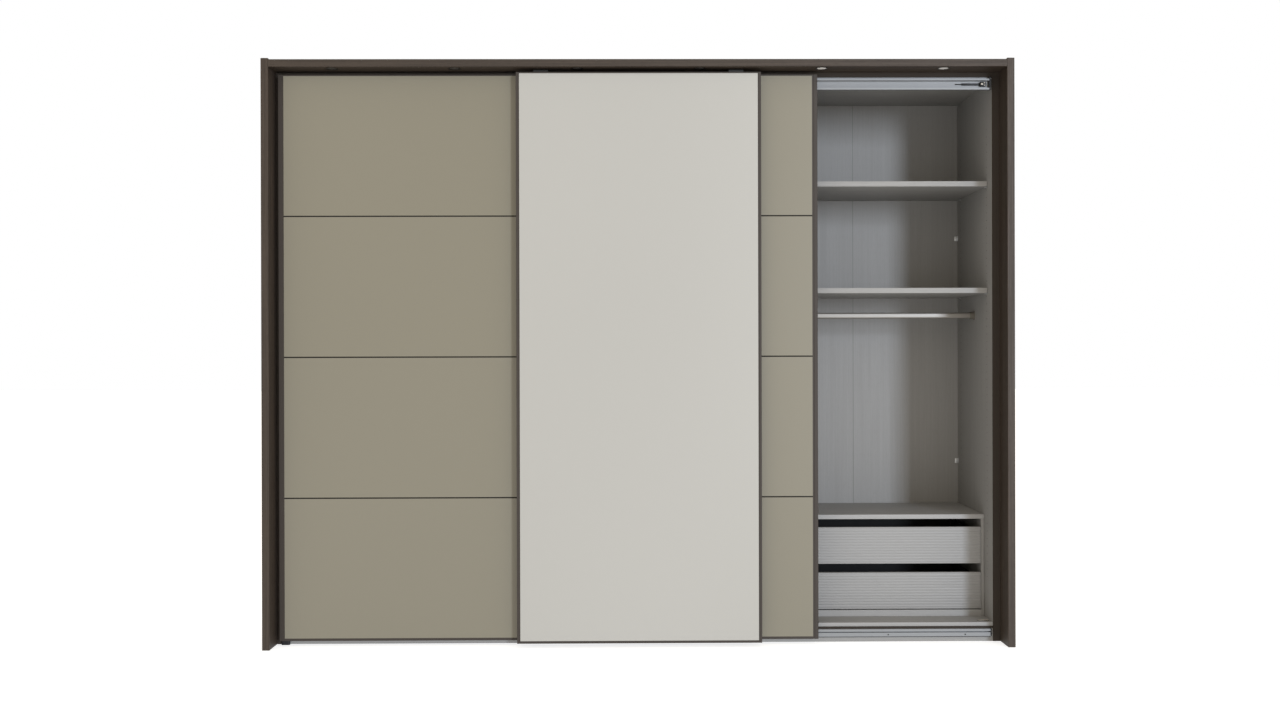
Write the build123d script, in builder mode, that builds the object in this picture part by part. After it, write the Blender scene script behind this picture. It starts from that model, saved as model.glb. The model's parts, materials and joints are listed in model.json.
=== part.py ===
# Sliding door wardrobe with three hung doors, a decor frame and a drawer insert.
# Millimetres. +Z is up, +X is to the right and -Y is the front.
# The origin is the middle of the footprint, on the floor.
import os

from build123d import *

# ---- decor frame in front of the carcass
frame_width = 3060.0
frame_height = 2400.0
frame_board = 30.0
frame_depth = 250.0
top_board_drop = 5.0
frame_edge = 1.2

# ---- planes, from the front of the frame back to the carcass
carcass_setback = 118.0
door_clearance = 27.0
door_rail_gap = 4.0

# ---- carcass
carcass_depth = 580.0
carcass_top_gap = 40.0
carcass_board = 22.0
side_gap = 8.0
floor_underside = 63.0
floor_board = 16.0
side_foot = 15.0
back_thickness = 3.0
back_inset = 17.0
strip_thickness = 3.0
strip_play = 0.5
compartments = 3
board_edge = 0.8

# ---- fittings inside the carcass
shelf_thickness = 22.0
shelf_setback = 65.0
shelf_play = 1.0
hat_shelf_underside = 1901.0
coat_shelf_underside = 1452.0
middle_shelf_undersides = (450.0, 820.0, 1190.0, 1560.0, 1930.0)
pin_radius = 2.5
pin_length = 9.0
pin_setbacks = (80.0, 500.0)
clothes_rail_width = 15.0
clothes_rail_height = 26.0
clothes_rail_setback = 280.0
coat_rail_drop = 75.0
bracket_thickness = 4.0
fitting_heights = (694.0, 1716.0)

# ---- doors
door_count = 3
door_bottom = 22.0
outer_door_drop = 4.0
door_rise = 4.0
door_thickness = 22.0
door_overlap = 20.0
door_side_cover = 10.0
glass_thickness = 4.0
glass_recess = 0.6
outer_stile_width = 13.0
inner_stile_width = 21.7
bottom_profile_height = 10.0
top_profile_height = 5.0
divider_height = 5.0
divider_recess = 1.2
panels_per_inner_door = 4
right_door_opening = 743.0
hanger_offset = 400.0

# ---- running gear
rail_depth = 19.0
rail_wall = 3.0
ledge_lip = 2.0
lip_rise = 3.0
damper_length = 76.0
damper_thickness = 4.0
damper_body_height = 9.0
damper_pin_length = 26.0
damper_pin_radius = 1.5
damper_lift = 6.5
block_width = 24.0
cap_length = 5.0
inner_ledge_thickness = 5.0
outer_ledge_thickness = 4.0
rail_above_ledge = 15.0
wheel_headroom = 8.7
wheel_radius = 12.0
wheel_width = 7.0
wheel_edge = 1.0
wheel_play = 1.5
axle_radius = 3.0
axle_play = 0.05
axle_end = 0.5
running_gap = 0.3
hanger_thickness = 2.5
hanger_width = 60.0
hanger_grip = 70.0
hanger_rise = 4.0
hanger_gap = 3.7
rail_end_gap = 15.0
guide_rail_bottom = 25.0
guide_rail_top = 55.0
guide_offset = 430.0
guide_width = 50.0
guide_play = 0.75
guide_head = 6.5
guide_neck = 3.0
guide_setback = 10.5
inner_slot_height = 43.0
inner_head_height = 7.5
outer_slot_height = 31.5
outer_head_height = 4.0
outer_arm_underside = 15.5

# ---- drawer insert in the right compartment
insert_setback = 126.0
insert_width = 738.0
insert_side = 12.0
insert_top_underside = 493.0
insert_top_thickness = 19.0
insert_plinth_top = 106.0
insert_back_gap = 4.0
drawer_front_gap = 2.0
drawer_front_thickness = 19.0
drawer_front_height = 155.0
drawer_front_bottoms = (110.0, 303.0)
drawer_travel = 350.0
drawer_side_gap = 13.0
drawer_wall = 12.0
drawer_wall_height = 110.0
drawer_bottom_thickness = 5.0
drawer_hold = 50.0
rib_pitch = 11.9
rib_groove_width = 1.6
rib_groove_depth = 0.9

# ---- lamps in the top board
lamp_count = 6
lamp_pitch = 500.0
lamp_setback = 39.0
lamp_radius = 25.0
lens_radius = 19.5
lamp_depth = 12.0
bezel_drop = 1.5
lens_recess = 1.0
lens_play = 0.3
lens_thickness = 4.0

# ---- places worked out from the sizes above
depth = carcass_setback + carcass_depth
front = -depth / 2
carcass_front = front + carcass_setback
rail_front = carcass_front - rail_depth
inner_door_front = rail_front - door_rail_gap - door_thickness
outer_door_front = inner_door_front - door_clearance - door_thickness
carcass_back = front + depth
back_face = carcass_back - back_inset - back_thickness
frame_inside = frame_width / 2 - frame_board
carcass_outside = frame_inside - side_gap
carcass_inside = carcass_outside - carcass_board
carcass_height = frame_height - carcass_top_gap
ceiling = carcass_height - carcass_board
floor_top = floor_underside + floor_board
top_board_top = frame_height - top_board_drop
top_board_underside = top_board_top - frame_board
bay_width = (2 * carcass_inside - (compartments - 1) * carcass_board) / compartments
bay_pitch = bay_width + carcass_board
bay_centres = [(i - (compartments - 1) / 2) * bay_pitch for i in range(compartments)]
partition_places = [(i + 1 - compartments / 2) * bay_pitch for i in range(compartments - 1)]
left_bay, middle_bay, right_bay = bay_centres
inside_depth = back_face - carcass_front
door_reach = carcass_inside + door_side_cover
door_width = (2 * door_reach + (door_count - 1) * door_overlap) / door_count
closed_offset = door_reach - door_width / 2
left_door_centre = -closed_offset
right_door_centre = closed_offset - right_door_opening
rail_half = carcass_inside - rail_end_gap
guide_middle = rail_front + guide_setback
wheel_middle = rail_front + ledge_lip + wheel_play + wheel_width / 2
outer_wheel_height = top_board_underside - hanger_gap - hanger_rise - wheel_radius
outer_ledge_top = outer_wheel_height - wheel_radius - running_gap
outer_ledge_bottom = outer_ledge_top - outer_ledge_thickness
inner_wheel_height = outer_ledge_bottom - wheel_headroom - wheel_radius
damper_height = inner_wheel_height + damper_lift
top_rail_top = outer_ledge_bottom + rail_above_ledge
top_rail_bottom = inner_wheel_height - wheel_radius - running_gap - inner_ledge_thickness
door_top = top_rail_top + door_rise
insert_right = carcass_inside - 1.0
insert_left = insert_right - insert_width
insert_centre = (insert_left + insert_right) / 2
insert_front = carcass_front + insert_setback
insert_back = back_face - insert_back_gap
drawer_depth = drawer_travel + drawer_hold
drawer_span = insert_width - 2 * insert_side - 2 * drawer_front_gap

standing = (Align.CENTER, Align.MIN, Align.MIN)
upright = (Align.CENTER, Align.CENTER, Align.MIN)
level = (Align.CENTER, Align.MIN, Align.CENTER)


def save(piece, name):
    piece.part.label = name
    export_step(piece.part, f"parts/{name}.step")


def boards(places, width, reach, height, edge=0.0):
    """Equal boards, each placed by the middle of its lower front edge."""
    with BuildPart() as piece:
        with Locations(*places):
            Box(width, reach, height, align=standing)
        if edge:
            chamfer(piece.edges(), edge)
    return piece


def outline(points, plane, length):
    """A closed outline of straight runs, extruded both ways from its plane."""
    with BuildPart() as piece:
        with BuildSketch(plane):
            with BuildLine():
                Polyline(*points, close=True)
            make_face()
        extrude(amount=length / 2, both=True)
    return piece


def make_carcass():
    side_height = carcass_height - side_foot
    for name, side in (("side_panel_left", -1), ("side_panel_right", 1)):
        middle = side * (carcass_inside + carcass_board / 2)
        place = (middle, carcass_front, side_foot)
        save(boards([place], carcass_board, carcass_depth, side_height, board_edge), name)
    walls = [(x, carcass_front, side_foot) for x in partition_places]
    save(boards(walls, carcass_board, inside_depth, side_height, board_edge), "partitions")
    tops = [(x, carcass_front, ceiling) for x in bay_centres]
    save(boards(tops, bay_width, inside_depth, carcass_board, board_edge), "top_panels")
    floors = [(x, carcass_front, floor_underside) for x in bay_centres]
    save(boards(floors, bay_width, inside_depth, floor_board, board_edge), "bottom_panels")
    plinths = [(x, carcass_front, 0) for x in bay_centres]
    save(boards(plinths, bay_width, carcass_board - 4, floor_underside), "plinths")


def make_backs():
    joint_gap = 3.0
    sheet_width = (bay_width - joint_gap) / 2
    sheet_height = carcass_height - floor_underside
    shift = (sheet_width + joint_gap) / 2
    sheets = [(x + s * shift, back_face, floor_underside) for x in bay_centres for s in (-1, 1)]
    save(boards(sheets, sheet_width, back_thickness, sheet_height), "back_panels")
    with BuildPart() as strips:
        for x in bay_centres:
            with BuildSketch(Plane.XY.offset(floor_underside)):
                with Locations((x, back_face + back_thickness / 2)):
                    Rectangle(joint_gap, back_thickness)
                with Locations((x, back_face + back_thickness + 1)):
                    Rectangle(16, 2)
            extrude(amount=sheet_height)
    save(strips, "back_joint_strips")
    fitting = (14.0, 10.0, 22.0)
    edges = [x + s * (bay_width / 2 - fitting[0] / 2) for x in bay_centres for s in (-1, 1)]
    places = [(x, back_face - fitting[1], z) for x in edges for z in fitting_heights]
    save(boards(places, *fitting, edge=1.5), "back_fittings")


def make_feet():
    rows = [carcass_front + 60, carcass_back - 80]
    columns = [s * (carcass_inside + carcass_board / 2) for s in (-1, 1)] + partition_places
    with BuildPart() as feet:
        with Locations(*[(x, y, 0) for x in columns for y in rows]):
            Cylinder(10.5, side_foot, align=upright)
        chamfer(feet.edges().group_by(Axis.Z)[0], 1.5)
    save(feet, "feet")
    with BuildPart() as cap:
        with BuildSketch(Plane.XY.offset(floor_top)):
            with Locations((carcass_inside - 32, carcass_front + 30)):
                SlotOverall(50, 16)
        extrude(amount=3)
        chamfer(cap.edges().group_by(Axis.Z)[-1], 1.2)
    save(cap, "foot_adjuster_cap")


def make_shelves():
    shelf_width = bay_width - 2 * shelf_play
    shelf_depth = inside_depth - shelf_setback - shelf_play
    seats = [(right_bay, hat_shelf_underside), (right_bay, coat_shelf_underside)]
    seats += [(left_bay, hat_shelf_underside), (left_bay, coat_shelf_underside)]
    seats += [(middle_bay, z) for z in middle_shelf_undersides]
    places = [(x, carcass_front + shelf_setback, z) for x, z in seats]
    save(boards(places, shelf_width, shelf_depth, shelf_thickness, board_edge), "shelves")

    with BuildPart() as pins:
        for side in (-1, 1):
            wall = side * bay_width / 2
            spots = [
                (x + wall, carcass_front + y, z - pin_radius)
                for x, z in seats
                for y in pin_setbacks
            ]
            with Locations(*spots):
                Cylinder(pin_radius, pin_length, rotation=(0, 90, 0),
                         align=(Align.CENTER, Align.CENTER, Align.MAX if side > 0 else Align.MIN))
    save(pins, "shelf_pins")

    rail_top = coat_shelf_underside - coat_rail_drop
    rail_middle = rail_top - clothes_rail_height / 2
    rail_y = carcass_front + clothes_rail_setback
    rail_length = bay_width - 2 * bracket_thickness
    rail_bays = (left_bay, right_bay)
    with BuildPart() as rails:
        for x in rail_bays:
            with BuildSketch(Plane.YZ.offset(x)):
                with Locations((rail_y, rail_middle)):
                    SlotOverall(clothes_rail_height, clothes_rail_width, rotation=90)
                    SlotOverall(clothes_rail_height - 3, clothes_rail_width - 3, rotation=90,
                                mode=Mode.SUBTRACT)
            extrude(amount=rail_length / 2, both=True)
    save(rails, "clothes_rails")

    with BuildPart() as brackets:
        for x in rail_bays:
            for side in (-1, 1):
                wall = x + side * bay_width / 2
                inward = Plane((wall, rail_y, rail_middle), x_dir=(0, 1, 0), z_dir=(-side, 0, 0))
                with BuildSketch(inward):
                    SlotOverall(clothes_rail_height + 14, clothes_rail_width + 12, rotation=90)
                extrude(amount=bracket_thickness)
                with BuildSketch(inward):
                    SlotOverall(clothes_rail_height + 5, clothes_rail_width + 5, rotation=90)
                    SlotOverall(clothes_rail_height + 0.6, clothes_rail_width + 0.6, rotation=90,
                                mode=Mode.SUBTRACT)
                extrude(amount=bracket_thickness + 16)
    save(brackets, "clothes_rail_brackets")


def make_frame():
    for name, side in (("frame_stile_left", -1), ("frame_stile_right", 1)):
        place = (side * (frame_inside + frame_board / 2), front, 0)
        save(boards([place], frame_board, frame_depth, frame_height, frame_edge), name)

    lamp_places = [(i - (lamp_count - 1) / 2) * lamp_pitch for i in range(lamp_count)]
    lamp_y = front + lamp_setback
    with BuildPart() as top_board:
        with Locations((0, front, top_board_underside)):
            Box(2 * frame_inside, frame_depth, frame_board, align=standing)
        chamfer(top_board.edges().filter_by(Axis.X), frame_edge)
        with Locations(*[(x, lamp_y, top_board_underside) for x in lamp_places]):
            Cylinder(lamp_radius - 3, lamp_depth, align=upright, mode=Mode.SUBTRACT)
    save(top_board, "frame_top_board")

    with BuildPart() as bezels:
        with Locations(*[(x, lamp_y, top_board_underside - bezel_drop) for x in lamp_places]):
            Cylinder(lamp_radius, bezel_drop, align=upright)
            Cylinder(lamp_radius - 3.2, bezel_drop + lamp_depth, align=upright)
            Cylinder(lens_radius, bezel_drop + lamp_depth, align=upright, mode=Mode.SUBTRACT)
        chamfer(bezels.edges().group_by(Axis.Z)[0], 0.5)
    save(bezels, "lamp_bezels")
    lens_bottom = top_board_underside - bezel_drop + lens_recess
    with BuildPart() as lenses:
        with Locations(*[(x, lamp_y, lens_bottom) for x in lamp_places]):
            Cylinder(lens_radius - lens_play, lens_thickness, align=upright)
    save(lenses, "lamp_lenses")

    packer_y = front + frame_depth - 50
    packer_height = top_board_underside - carcass_height
    packers = [(x, packer_y, carcass_height) for x in bay_centres]
    packers += [(x, packer_y, carcass_height) for x in partition_places]
    save(boards(packers, 60, 40, packer_height), "frame_packers")

    # dark strips close the gaps from the frame to the front edges of the carcass
    strip_front = carcass_front - strip_thickness
    strip_width = frame_inside - carcass_inside
    with BuildPart() as strips:
        for side in (-1, 1):
            with BuildSketch():
                with Locations((side * (carcass_inside + frame_inside) / 2,
                                strip_front + strip_thickness / 2)):
                    Rectangle(strip_width, strip_thickness)
                with Locations((side * (frame_inside - side_gap / 2), carcass_front + 30)):
                    Rectangle(side_gap, 60)
            extrude(amount=top_board_underside)
        for low, high in ((guide_rail_top, floor_underside), (top_rail_top, top_board_underside)):
            with Locations((0, strip_front, low)):
                Box(2 * (carcass_inside - strip_play), strip_thickness, high - low, align=standing)
    save(strips, "cover_strips")


def make_rails():
    web_front = carcass_front - rail_wall
    lip_back = rail_front + ledge_lip
    inner_top = top_rail_bottom + inner_ledge_thickness
    top_section = [
        (rail_front, top_rail_bottom),
        (carcass_front, top_rail_bottom),
        (carcass_front, top_rail_top),
        (web_front, top_rail_top),
        (web_front, outer_ledge_top),
        (lip_back, outer_ledge_top),
        (lip_back, outer_ledge_top + lip_rise),
        (rail_front, outer_ledge_top + lip_rise),
        (rail_front, outer_ledge_bottom),
        (web_front, outer_ledge_bottom),
        (web_front, inner_top),
        (lip_back, inner_top),
        (lip_back, inner_top + lip_rise),
        (rail_front, inner_top + lip_rise),
    ]
    save(outline(top_section, Plane.YZ, 2 * rail_half), "top_rail")

    # two T-shaped slots: the inner one opens to the front, the outer one opens down
    with BuildPart() as bottom_rail:
        with BuildSketch(Plane.YZ):
            with Locations(((rail_front + carcass_front) / 2,
                            (guide_rail_bottom + guide_rail_top) / 2)):
                Rectangle(rail_depth, guide_rail_top - guide_rail_bottom)
            with Locations((guide_middle, inner_slot_height)):
                Rectangle(guide_head + 2 * guide_play, inner_head_height + 2 * guide_play,
                          mode=Mode.SUBTRACT)
            with Locations((rail_front, inner_slot_height)):
                Rectangle(2 * (guide_middle - rail_front), guide_neck + 2 * guide_play,
                          mode=Mode.SUBTRACT)
            with Locations((guide_middle, outer_slot_height)):
                Rectangle(guide_head + 2 * guide_play, outer_head_height + 2 * guide_play,
                          mode=Mode.SUBTRACT)
            with Locations((guide_middle, guide_rail_bottom)):
                Rectangle(guide_neck + 2 * guide_play, 2 * (outer_slot_height - guide_rail_bottom),
                          mode=Mode.SUBTRACT)
        extrude(amount=rail_half, both=True)
    save(bottom_rail, "bottom_rail")

    # black plastic: an end cap on each rail end, and the stop that the left door closes on
    cap_depth = rail_depth - strip_thickness
    stop_width = 35.0
    with BuildPart() as caps:
        for side in (-1, 1):
            middle = side * (rail_half + cap_length / 2)
            with Locations((middle, rail_front, top_rail_bottom)):
                Box(cap_length, cap_depth, top_rail_top - top_rail_bottom, align=standing)
            with Locations((middle, rail_front, guide_rail_bottom)):
                Box(cap_length, cap_depth, guide_rail_top - guide_rail_bottom, align=standing)
        with BuildSketch():
            with Locations((-carcass_inside + stop_width / 2 - 10, rail_front + cap_depth / 2)):
                RectangleRounded(stop_width, cap_depth, 7)
        extrude(amount=door_bottom - 2)
    save(caps, "rail_end_caps")

    # a soft-close damper near each end of the inner track, behind the wheels
    block_height = 18.0
    block_middle = rail_half - 25
    block_depth = web_front - lip_back - 1
    with BuildPart() as dampers:
        for side in (-1, 1):
            block = (side * block_middle, lip_back + 1, damper_height)
            with Locations(block):
                Box(block_width, block_depth, block_height, align=level)
            body_middle = side * (block_middle - (block_width + damper_length) / 2)
            with Locations((body_middle, web_front - damper_thickness, damper_height)):
                Box(damper_length, damper_thickness, damper_body_height, align=level)
            pin_middle = side * (abs(body_middle) - (damper_length + damper_pin_length) / 2)
            with Locations((pin_middle, web_front - damper_thickness / 2, damper_height)):
                Cylinder(damper_pin_radius, damper_pin_length, rotation=(0, 90, 0))
        chamfer(dampers.edges().filter_by(Axis.Y), 1.0)
    save(dampers, "soft_close_dampers")


def make_door(name, centre, door_front, low_edge, stile_width, panel_count):
    """One door: lacquered glass on a board, in a dark profile frame."""
    door_back = door_front + door_thickness
    glass_front = door_front + glass_recess
    board_front = glass_front + glass_thickness
    span = door_width - 2 * stile_width
    glass_bottom = low_edge + bottom_profile_height
    glass_span = door_top - top_profile_height - glass_bottom
    panel_height = (glass_span - (panel_count - 1) * divider_height) / panel_count
    step = panel_height + divider_height
    panels = [(centre, glass_front, glass_bottom + i * step) for i in range(panel_count)]
    save(boards(panels, span, glass_thickness, panel_height, 0.4), f"{name}_glass")

    board_thickness = door_back - board_front
    board_place = [(centre, board_front, glass_bottom)]
    save(boards(board_place, span, board_thickness, glass_span), f"{name}_board")

    with BuildPart() as profiles:
        door_height = door_top - low_edge
        for side in (-1, 1):
            outside = centre + side * door_width / 2
            inside = outside - side * stile_width
            ridge = inside + side * 0.35 * stile_width
            with BuildSketch(Plane.XY.offset(low_edge)):
                with BuildLine():
                    Polyline(
                        (outside, door_back),
                        (outside, door_front + 0.8),
                        (outside - side * 0.8, door_front),
                        (ridge, door_front),
                        (ridge - side * 1.2, door_front + 1.2),
                        (inside, door_front + 1.2),
                        (inside, door_back),
                        close=True,
                    )
                make_face()
            extrude(amount=door_height)
        for low, high in ((low_edge, glass_bottom), (glass_bottom + glass_span, door_top)):
            with Locations((centre, door_front + 0.8, low)):
                Box(span, door_thickness - 0.8, high - low, align=standing)
    save(profiles, f"{name}_profiles")

    if panel_count > 1:
        cover = board_front - glass_front - divider_recess
        gaps = [
            (centre, glass_front + divider_recess, glass_bottom + i * step - divider_height)
            for i in range(1, panel_count)
        ]
        save(boards(gaps, span, cover, divider_height), f"{name}_dividers")


def make_wheel(name, x, height):
    with BuildPart() as wheel:
        with BuildSketch(Plane.XZ.offset(-wheel_middle)):
            with Locations((x, height)):
                Circle(wheel_radius)
                Circle(axle_radius + axle_play, mode=Mode.SUBTRACT)
        extrude(amount=wheel_width / 2, both=True)
        rims = wheel.edges().filter_by(GeomType.CIRCLE).group_by(SortBy.RADIUS)[-1]
        chamfer(rims, wheel_edge)
    save(wheel, name)


def make_inner_gear(name, centre):
    """Plates on the back of an inner door, with an axle above and a T-shaped shoe below."""
    door_back = inner_door_front + door_thickness
    plate_top = inner_wheel_height + 12
    plate_bottom = plate_top - hanger_grip - 25
    axle_back = wheel_middle + wheel_width / 2 + axle_end
    with BuildPart() as hangers:
        for side in (-1, 1):
            x = centre + side * hanger_offset
            with Locations((x, door_back, plate_bottom)):
                Box(hanger_width, hanger_thickness, plate_top - plate_bottom, align=standing)
            with BuildSketch(Plane.XZ.offset(-door_back)):
                with Locations((x, inner_wheel_height)):
                    Circle(axle_radius)
            extrude(amount=-(axle_back - door_back))
    save(hangers, f"{name}_hangers")

    shoe_low = door_bottom + 4
    shoe_high = guide_rail_top + 20
    with BuildPart() as guides:
        for side in (-1, 1):
            x = centre + side * guide_offset
            with Locations((x, door_back, shoe_low)):
                Box(guide_width, hanger_thickness, shoe_high - shoe_low, align=standing)
            with Locations((x, door_back, inner_slot_height - guide_neck / 2)):
                Box(guide_width, guide_middle - door_back, guide_neck, align=standing)
            with Locations((x, guide_middle - guide_head / 2,
                            inner_slot_height - inner_head_height / 2)):
                Box(guide_width, guide_head, inner_head_height, align=standing)
    save(guides, f"{name}_guides")
    for side, label in ((-1, "left"), (1, "right")):
        make_wheel(f"{name}_wheel_{label}", centre + side * hanger_offset, inner_wheel_height)


def make_outer_gear(name, centre):
    """Arms that reach over and under the inner doors to the outer tracks."""
    door_back = outer_door_front + door_thickness
    arm_top = outer_wheel_height + wheel_radius + hanger_rise
    arm_low = arm_top - hanger_thickness
    hook_front = inner_door_front + door_thickness + 1
    hook_back = hook_front + hanger_thickness
    hook_low = outer_wheel_height - 6
    axle_back = wheel_middle + wheel_width / 2 + axle_end
    hanger_section = [
        (door_back, arm_low - hanger_grip),
        (door_back + hanger_thickness, arm_low - hanger_grip),
        (door_back + hanger_thickness, arm_low),
        (hook_front, arm_low),
        (hook_front, hook_low),
        (hook_back, hook_low),
        (hook_back, arm_top),
        (door_back, arm_top),
    ]
    with BuildPart() as hangers:
        for side in (-1, 1):
            x = centre + side * hanger_offset
            with BuildSketch(Plane.YZ.offset(x)):
                with BuildLine():
                    Polyline(*hanger_section, close=True)
                make_face()
            extrude(amount=hanger_width / 2, both=True)
            with BuildSketch(Plane.XZ.offset(-hook_front)):
                with Locations((x, outer_wheel_height)):
                    Circle(axle_radius)
            extrude(amount=-(axle_back - hook_front))
    save(hangers, f"{name}_hangers")

    arm_thickness = 3.0
    head_low = outer_slot_height - outer_head_height / 2
    head_high = outer_slot_height + outer_head_height / 2
    guide_section = [
        (door_back, outer_arm_underside),
        (guide_middle + guide_neck / 2, outer_arm_underside),
        (guide_middle + guide_neck / 2, head_low),
        (guide_middle + guide_head / 2, head_low),
        (guide_middle + guide_head / 2, head_high),
        (guide_middle - guide_head / 2, head_high),
        (guide_middle - guide_head / 2, head_low),
        (guide_middle - guide_neck / 2, head_low),
        (guide_middle - guide_neck / 2, outer_arm_underside + arm_thickness),
        (door_back + arm_thickness, outer_arm_underside + arm_thickness),
        (door_back + arm_thickness, outer_arm_underside + hanger_grip),
        (door_back, outer_arm_underside + hanger_grip),
    ]
    with BuildPart() as guides:
        for side in (-1, 1):
            with BuildSketch(Plane.YZ.offset(centre + side * guide_offset)):
                with BuildLine():
                    Polyline(*guide_section, close=True)
                make_face()
            extrude(amount=guide_width / 2, both=True)
    save(guides, f"{name}_guides")
    for side, label in ((-1, "left"), (1, "right")):
        make_wheel(f"{name}_wheel_{label}", centre + side * hanger_offset, outer_wheel_height)


def make_insert():
    insert_depth = insert_back - insert_front
    side_height = insert_top_underside - floor_top
    middles = [insert_left + insert_side / 2, insert_right - insert_side / 2]
    sides = [(x, insert_front, floor_top) for x in middles]
    save(boards(sides, insert_side, insert_depth, side_height, 0.5), "insert_sides")
    top_place = [(insert_centre, insert_front, insert_top_underside)]
    save(boards(top_place, insert_width, insert_depth, insert_top_thickness, board_edge), "insert_top")
    between = insert_width - 2 * insert_side
    plinth_height = insert_plinth_top - floor_top
    plinth_place = [(insert_centre, insert_front, floor_top)]
    save(boards(plinth_place, between, 16, plinth_height, 0.5), "insert_plinth")
    back_place = [(insert_centre, insert_back - 8, floor_top)]
    save(boards(back_place, between, 8, side_height), "insert_back")

    runner_width = drawer_side_gap - 1.0
    with BuildPart() as runners:
        for front_bottom in drawer_front_bottoms:
            for side in (-1, 1):
                wall = insert_centre + side * between / 2
                middle = wall - side * runner_width / 2
                with Locations((middle, insert_front + 25, front_bottom + 40)):
                    Box(runner_width, drawer_depth - 5, 36, align=standing)
        chamfer(runners.edges().filter_by(Axis.Y), 1.0)
    save(runners, "drawer_runners")


def make_drawer(name, front_bottom):
    with BuildPart() as drawer_front:
        with Locations((insert_centre, insert_front, front_bottom)):
            Box(drawer_span, drawer_front_thickness, drawer_front_height, align=standing)
        chamfer(drawer_front.edges(), 0.6)
        count = int(drawer_front_height / rib_pitch)
        spare = (drawer_front_height - (count - 1) * rib_pitch) / 2
        grooves = [
            (insert_centre, insert_front, front_bottom + spare + i * rib_pitch)
            for i in range(count)
        ]
        with Locations(*grooves):
            Box(drawer_span, 2 * rib_groove_depth, rib_groove_width, mode=Mode.SUBTRACT)
    save(drawer_front, f"{name}_front")

    box_front = insert_front + drawer_front_thickness
    box_width = insert_width - 2 * insert_side - 2 * drawer_side_gap
    box_bottom = front_bottom + 25
    wall_shift = (box_width - drawer_wall) / 2
    with BuildPart() as box:
        with Locations(*[(insert_centre + s * wall_shift, box_front, box_bottom) for s in (-1, 1)]):
            Box(drawer_wall, drawer_depth, drawer_wall_height, align=standing)
        with Locations((insert_centre, box_front + drawer_depth - drawer_wall, box_bottom)):
            Box(box_width - 2 * drawer_wall, drawer_wall, drawer_wall_height, align=standing)
    save(box, f"{name}_box")
    floor_width = box_width - 2 * drawer_wall
    floor_place = [(insert_centre, box_front, box_bottom)]
    floor_reach = drawer_depth - drawer_wall
    save(boards(floor_place, floor_width, floor_reach, drawer_bottom_thickness), f"{name}_bottom")


os.makedirs("parts", exist_ok=True)
make_carcass()
make_backs()
make_feet()
make_shelves()
make_frame()
make_rails()
for name, centre in (("left_door", left_door_centre), ("right_door", right_door_centre)):
    make_door(name, centre, inner_door_front, door_bottom, inner_stile_width, panels_per_inner_door)
make_door("middle_door", 0.0, outer_door_front, door_bottom - outer_door_drop, outer_stile_width, 1)
make_inner_gear("left_door", left_door_centre)
make_inner_gear("right_door", right_door_centre)
make_outer_gear("middle_door", 0.0)
make_insert()
make_drawer("lower_drawer", drawer_front_bottoms[0])
make_drawer("upper_drawer", drawer_front_bottoms[1])
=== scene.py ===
import json
import math

import bmesh
import bpy
from mathutils import Matrix, Vector


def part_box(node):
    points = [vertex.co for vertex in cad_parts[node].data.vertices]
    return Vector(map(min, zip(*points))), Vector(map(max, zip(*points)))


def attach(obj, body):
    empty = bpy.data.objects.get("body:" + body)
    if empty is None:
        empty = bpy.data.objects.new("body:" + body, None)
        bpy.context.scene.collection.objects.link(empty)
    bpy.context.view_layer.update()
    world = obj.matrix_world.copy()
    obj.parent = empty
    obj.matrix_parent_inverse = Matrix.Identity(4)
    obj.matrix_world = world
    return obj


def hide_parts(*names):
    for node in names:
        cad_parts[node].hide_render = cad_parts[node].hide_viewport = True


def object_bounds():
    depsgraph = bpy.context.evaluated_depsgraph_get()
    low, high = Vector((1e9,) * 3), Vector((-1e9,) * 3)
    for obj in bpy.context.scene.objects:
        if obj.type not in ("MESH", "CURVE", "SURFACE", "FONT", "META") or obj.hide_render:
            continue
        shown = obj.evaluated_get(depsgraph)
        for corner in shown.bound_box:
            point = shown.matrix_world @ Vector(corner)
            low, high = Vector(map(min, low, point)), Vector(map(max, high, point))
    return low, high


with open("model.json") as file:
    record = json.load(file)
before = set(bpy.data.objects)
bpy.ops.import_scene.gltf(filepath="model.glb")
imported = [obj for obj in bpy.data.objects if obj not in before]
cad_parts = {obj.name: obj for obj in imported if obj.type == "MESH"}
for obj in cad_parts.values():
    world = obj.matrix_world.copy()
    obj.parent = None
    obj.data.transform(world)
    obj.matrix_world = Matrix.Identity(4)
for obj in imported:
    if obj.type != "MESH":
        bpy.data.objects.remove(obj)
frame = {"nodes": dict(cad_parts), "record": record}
cadLow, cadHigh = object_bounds()
mm = 0.001
weld = 0.01 * mm  # corners closer than this are one
print("stage: frame loaded,", len(frame["nodes"]), "nodes")


# ---- shader helpers

class Wire:
    # one output socket, so that shader maths reads as plain arithmetic
    def __init__(self, graph, socket):
        self.graph = graph
        self.socket = socket

    def __add__(self, other):
        return self.graph.maths("ADD", self, other)

    def __radd__(self, other):
        return self.graph.maths("ADD", other, self)

    def __sub__(self, other):
        return self.graph.maths("SUBTRACT", self, other)

    def __rsub__(self, other):
        return self.graph.maths("SUBTRACT", other, self)

    def __mul__(self, other):
        return self.graph.maths("MULTIPLY", self, other)

    def __rmul__(self, other):
        return self.graph.maths("MULTIPLY", other, self)


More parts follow.
